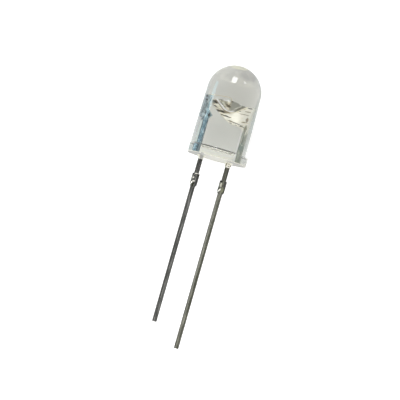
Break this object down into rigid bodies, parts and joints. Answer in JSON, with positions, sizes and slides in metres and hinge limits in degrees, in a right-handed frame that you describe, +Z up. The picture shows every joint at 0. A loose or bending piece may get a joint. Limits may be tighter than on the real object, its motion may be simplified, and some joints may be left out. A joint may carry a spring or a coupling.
{
  "type": "through hole led",
  "caption": "Clear domed light-emitting diode with a flanged, flat-sided base, a reflector cup and a wire post cast inside, and straight square leads of unequal length.",
  "frame": {"origin": "on the surface the part lies on, under the middle of its length and under the lens axis", "axes": "+Y runs along the part towards the dome, +X from the short lead to the long lead, +Z up; the lens axis dips 3.7 degrees towards the dome, as the part rests on its flange and its dome"},
  "size_m": [0.0054, 0.026, 0.0057],
  "materials": {
    "clear_epoxy": "clear, colourless, glossy casting",
    "plated_lead": "silver-plated stamped sheet, slightly warm, with fine rolling lines",
    "plated_post": "silver-plated stamped sheet with fine rolling lines",
    "chip": "sawn semiconductor die, amber grey",
    "silver_paste": "matt cured silver paste",
    "gold_wire": "bright drawn gold wire"
  },
  "bodies": {
    "root": {"lens": "clear_epoxy", "cup_lead": "plated_lead", "post_lead": "plated_post", "chip": "chip", "die_attach": "silver_paste", "bond_wire": "gold_wire"}
  },
  "joints": []
}
